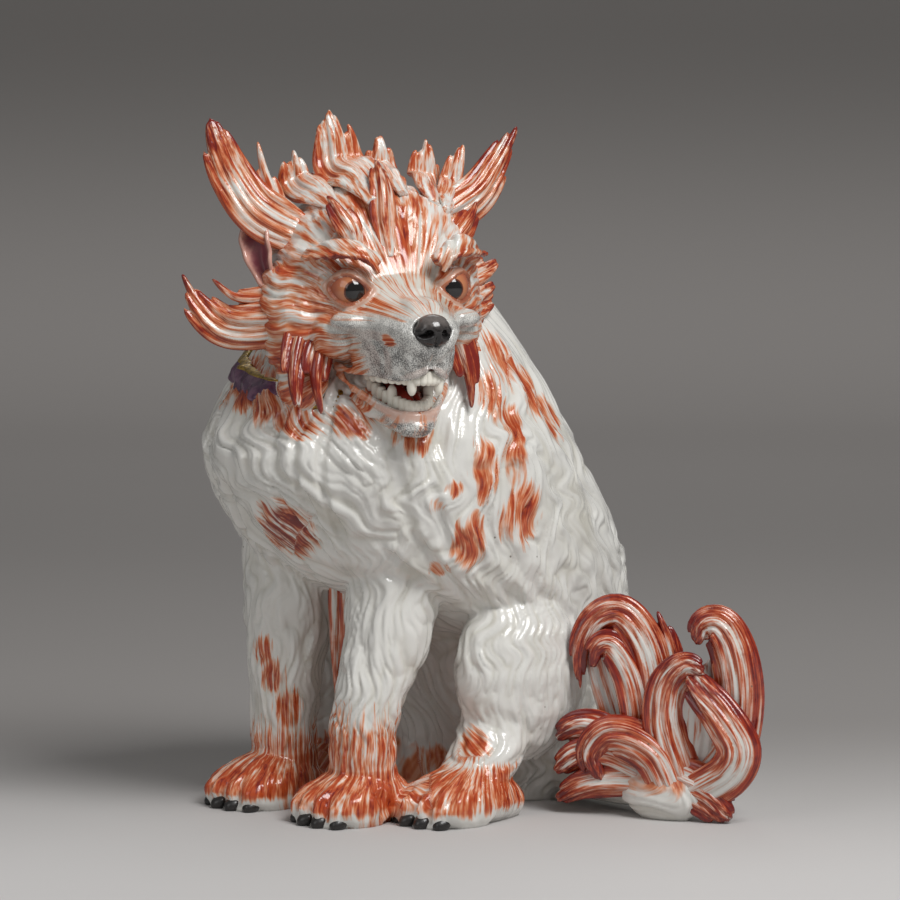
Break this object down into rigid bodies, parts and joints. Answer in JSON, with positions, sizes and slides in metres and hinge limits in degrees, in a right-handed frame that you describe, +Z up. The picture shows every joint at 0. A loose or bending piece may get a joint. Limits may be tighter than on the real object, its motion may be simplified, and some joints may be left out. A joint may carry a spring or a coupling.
{
  "type": "porcelain dog figurine",
  "caption": "Large seated dog in white glazed porcelain with combed fur, iron-red painted tufts, open mouth, collar and a tail of curled locks; a free-standing ornament.",
  "frame": {"origin": "bottom centre of the bounding box, on the ground", "axes": "+Z up, -Y the way the body faces, +X the dog's left"},
  "size_m": [0.336, 0.3346, 0.4397],
  "materials": {
    "white_glaze": "glossy white glaze over porcelain",
    "iron_red_glaze": "iron-red brushwork under a glossy glaze",
    "dark_red_glaze": "dark red enamel, glossy",
    "amber_eye_glaze": "amber enamel, glossy",
    "black_glaze": "black-brown enamel, glossy",
    "tooth_glaze": "glossy white glaze",
    "mauve_glaze": "mauve enamel, glossy",
    "purple_gilt_glaze": "purple enamel with gilding"
  },
  "bodies": {
    "root": {"belly_lock": "iron_red_glaze", "body_shell": "white_glaze", "brow_flick_left": "iron_red_glaze", "brow_flick_right": "iron_red_glaze", "brow_left": "iron_red_glaze", "brow_right": "iron_red_glaze", "cheek_lock_left_lower": "iron_red_glaze", "cheek_lock_left_middle": "iron_red_glaze", "cheek_lock_left_upper": "iron_red_glaze", "cheek_lock_right": "iron_red_glaze", "cheek_lock_right_upper": "iron_red_glaze", "collar": "purple_gilt_glaze", "crown_lock_centre": "iron_red_glaze", "crown_lock_left": "iron_red_glaze", "crown_lock_outer": "iron_red_glaze", "crown_lock_right": "iron_red_glaze", "crown_lock_side": "iron_red_glaze", "ear_left": "mauve_glaze", "ear_right": "mauve_glaze", "eye_left": "amber_eye_glaze", "eye_right": "amber_eye_glaze", "foreleg_left": "white_glaze", "foreleg_right": "white_glaze", "forelock": "iron_red_glaze", "forepaw_left": "iron_red_glaze", "forepaw_right": "iron_red_glaze", "haunch_left": "white_glaze", "haunch_right": "white_glaze", "head": "white_glaze", "hind_paw_left": "iron_red_glaze", "hind_paw_right": "iron_red_glaze", "horn_lock_left": "iron_red_glaze", "horn_lock_right": "iron_red_glaze", "horn_spike_right": "iron_red_glaze", "jowl_lock_left": "iron_red_glaze", "jowl_lock_right_inner": "iron_red_glaze", "jowl_lock_right_outer": "iron_red_glaze", "lower_jaw": "white_glaze", "lower_teeth": "tooth_glaze", "nose": "black_glaze", "shank_left": "white_glaze", "shank_right": "white_glaze", "tail_leaf_left": "iron_red_glaze", "tail_leaf_right": "iron_red_glaze", "tail_lock_fan_lower": "iron_red_glaze", "tail_lock_fan_middle": "iron_red_glaze", "tail_lock_fan_upper": "iron_red_glaze", "tail_lock_front": "iron_red_glaze", "tail_lock_low": "iron_red_glaze", "tail_lock_middle": "iron_red_glaze", "tail_lock_scroll": "iron_red_glaze", "tail_lock_scroll_inner": "iron_red_glaze", "tail_lock_spike": "iron_red_glaze", "tail_lock_tall": "iron_red_glaze", "tail_lock_tip": "iron_red_glaze", "tail_stem": "white_glaze", "tongue": "dark_red_glaze", "upper_teeth": "tooth_glaze"}
  },
  "joints": []
}
